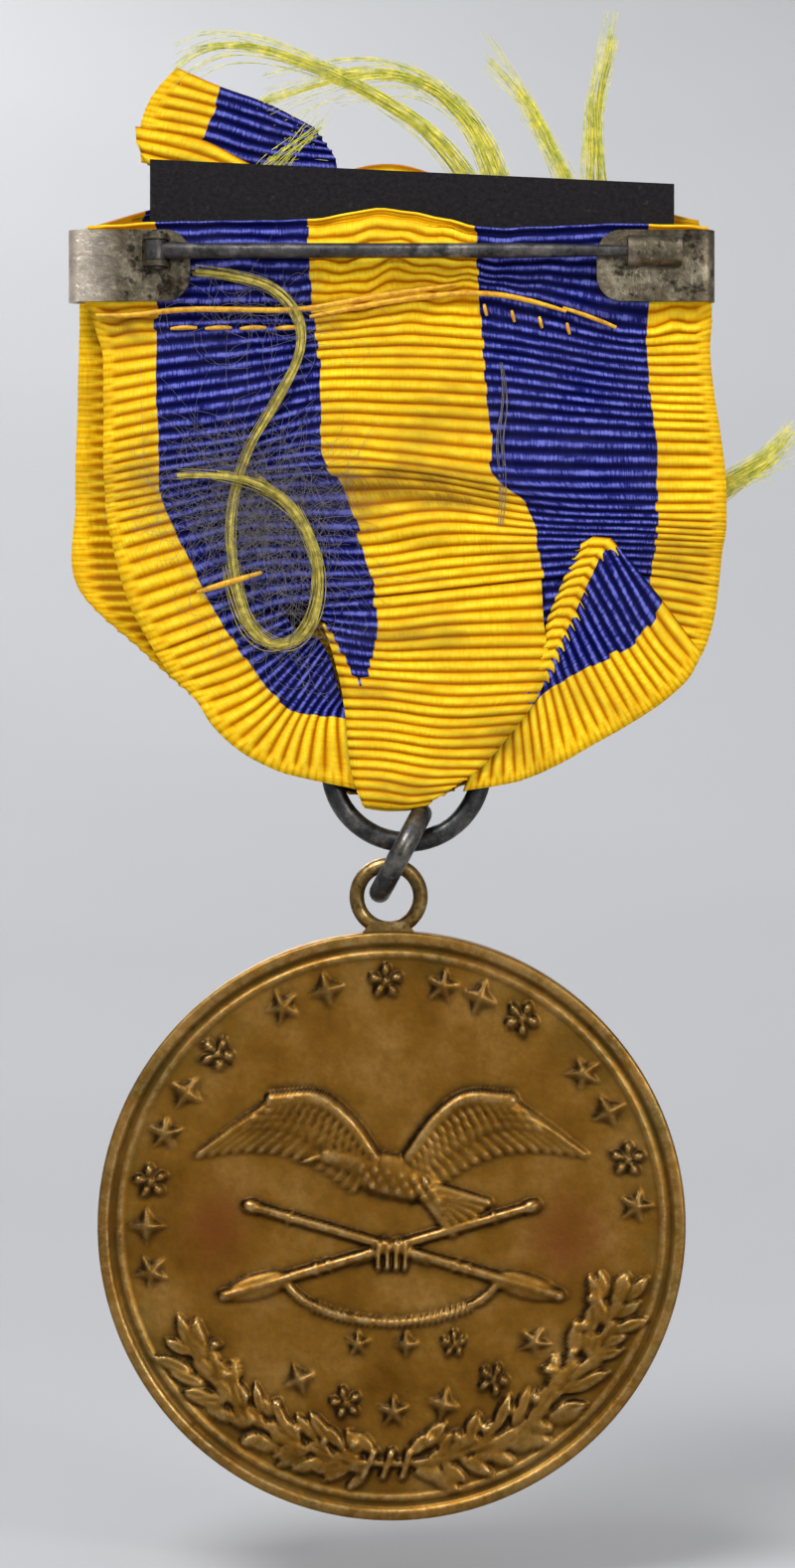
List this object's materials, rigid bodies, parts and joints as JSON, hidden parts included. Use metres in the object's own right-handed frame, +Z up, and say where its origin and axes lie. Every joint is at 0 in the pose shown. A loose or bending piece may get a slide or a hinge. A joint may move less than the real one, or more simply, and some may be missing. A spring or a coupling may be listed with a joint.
{
  "type": "military service medal",
  "caption": "Bronze disc medal with a gull over crossed oars in relief, hung by a loop, link and ring from a folded striped grosgrain ribbon on a pin-back bar.",
  "frame": {"origin": "on the pin stem's axis, half way along the brooch bar", "axes": "+X along the pin towards its point, +Z up as the medal hangs, +Y from the pin side to the show side"},
  "size_m": [0.0412, 0.0062, 0.0841],
  "materials": {
    "bar_metal": "tarnished, lightly brushed",
    "pin_metal": "dull drawn wire",
    "ring_metal": "darkened wire",
    "loop_metal": "worn",
    "bronze": "struck, brown patina",
    "ribbon": "ribbed silk, gold and dark blue stripes",
    "stiffener": "felted",
    "thread": "fine twisted silk"
  },
  "bodies": {
    "mounting": {"brooch_bar": "bar_metal", "hinge_axle": "bar_metal", "catch": "bar_metal", "stiffener_strip": "stiffener", "ribbon_back": "ribbon", "ribbon_front": "ribbon", "ribbon_turn_in": "ribbon", "ribbon_tail": "ribbon", "stitch_row_upper": "thread", "stitch_row_lower": "thread", "loose_thread": "thread", "fray_arc": "thread", "fray_centre": "thread", "fray_right": "thread", "fray_leaning": "thread", "fray_side": "thread"},
    "pin": {"pin_stem": "pin_metal", "pin_point": "pin_metal"},
    "ring": {"suspension_ring": "ring_metal", "ribbon_fold_back": "ribbon", "ribbon_fold_front": "ribbon", "ribbon_fold_bend": "ribbon"},
    "link": {"connecting_link": "ring_metal"},
    "medal": {"medal_loop": "loop_metal", "medal_disc": "bronze"}
  },
  "joints": [
    {"name": "pin_hinge", "type": "hinge", "parent": "mounting", "child": "pin", "pos_m": [-0.0132, 0, 0], "axis": [0, 0, 1], "range_deg": [-75, 0], "deforming": ["pin_point"]},
    {"name": "ring_swing", "type": "hinge", "parent": "mounting", "child": "ring", "pos_m": [0.00083, 0.00208, -0.02454], "axis": [1, 0, 0], "range_deg": [-30, 30]},
    {"name": "link_swing", "type": "hinge", "parent": "ring", "child": "link", "pos_m": [0.00088, 0.00208, -0.03306], "axis": [1, 0, 0], "range_deg": [-25, 25]},
    {"name": "medal_swing", "type": "hinge", "parent": "link", "child": "medal", "pos_m": [-0.00067, 0.00208, -0.03591], "axis": [0, 1, 0], "range_deg": [-15, 15]}
  ]
}
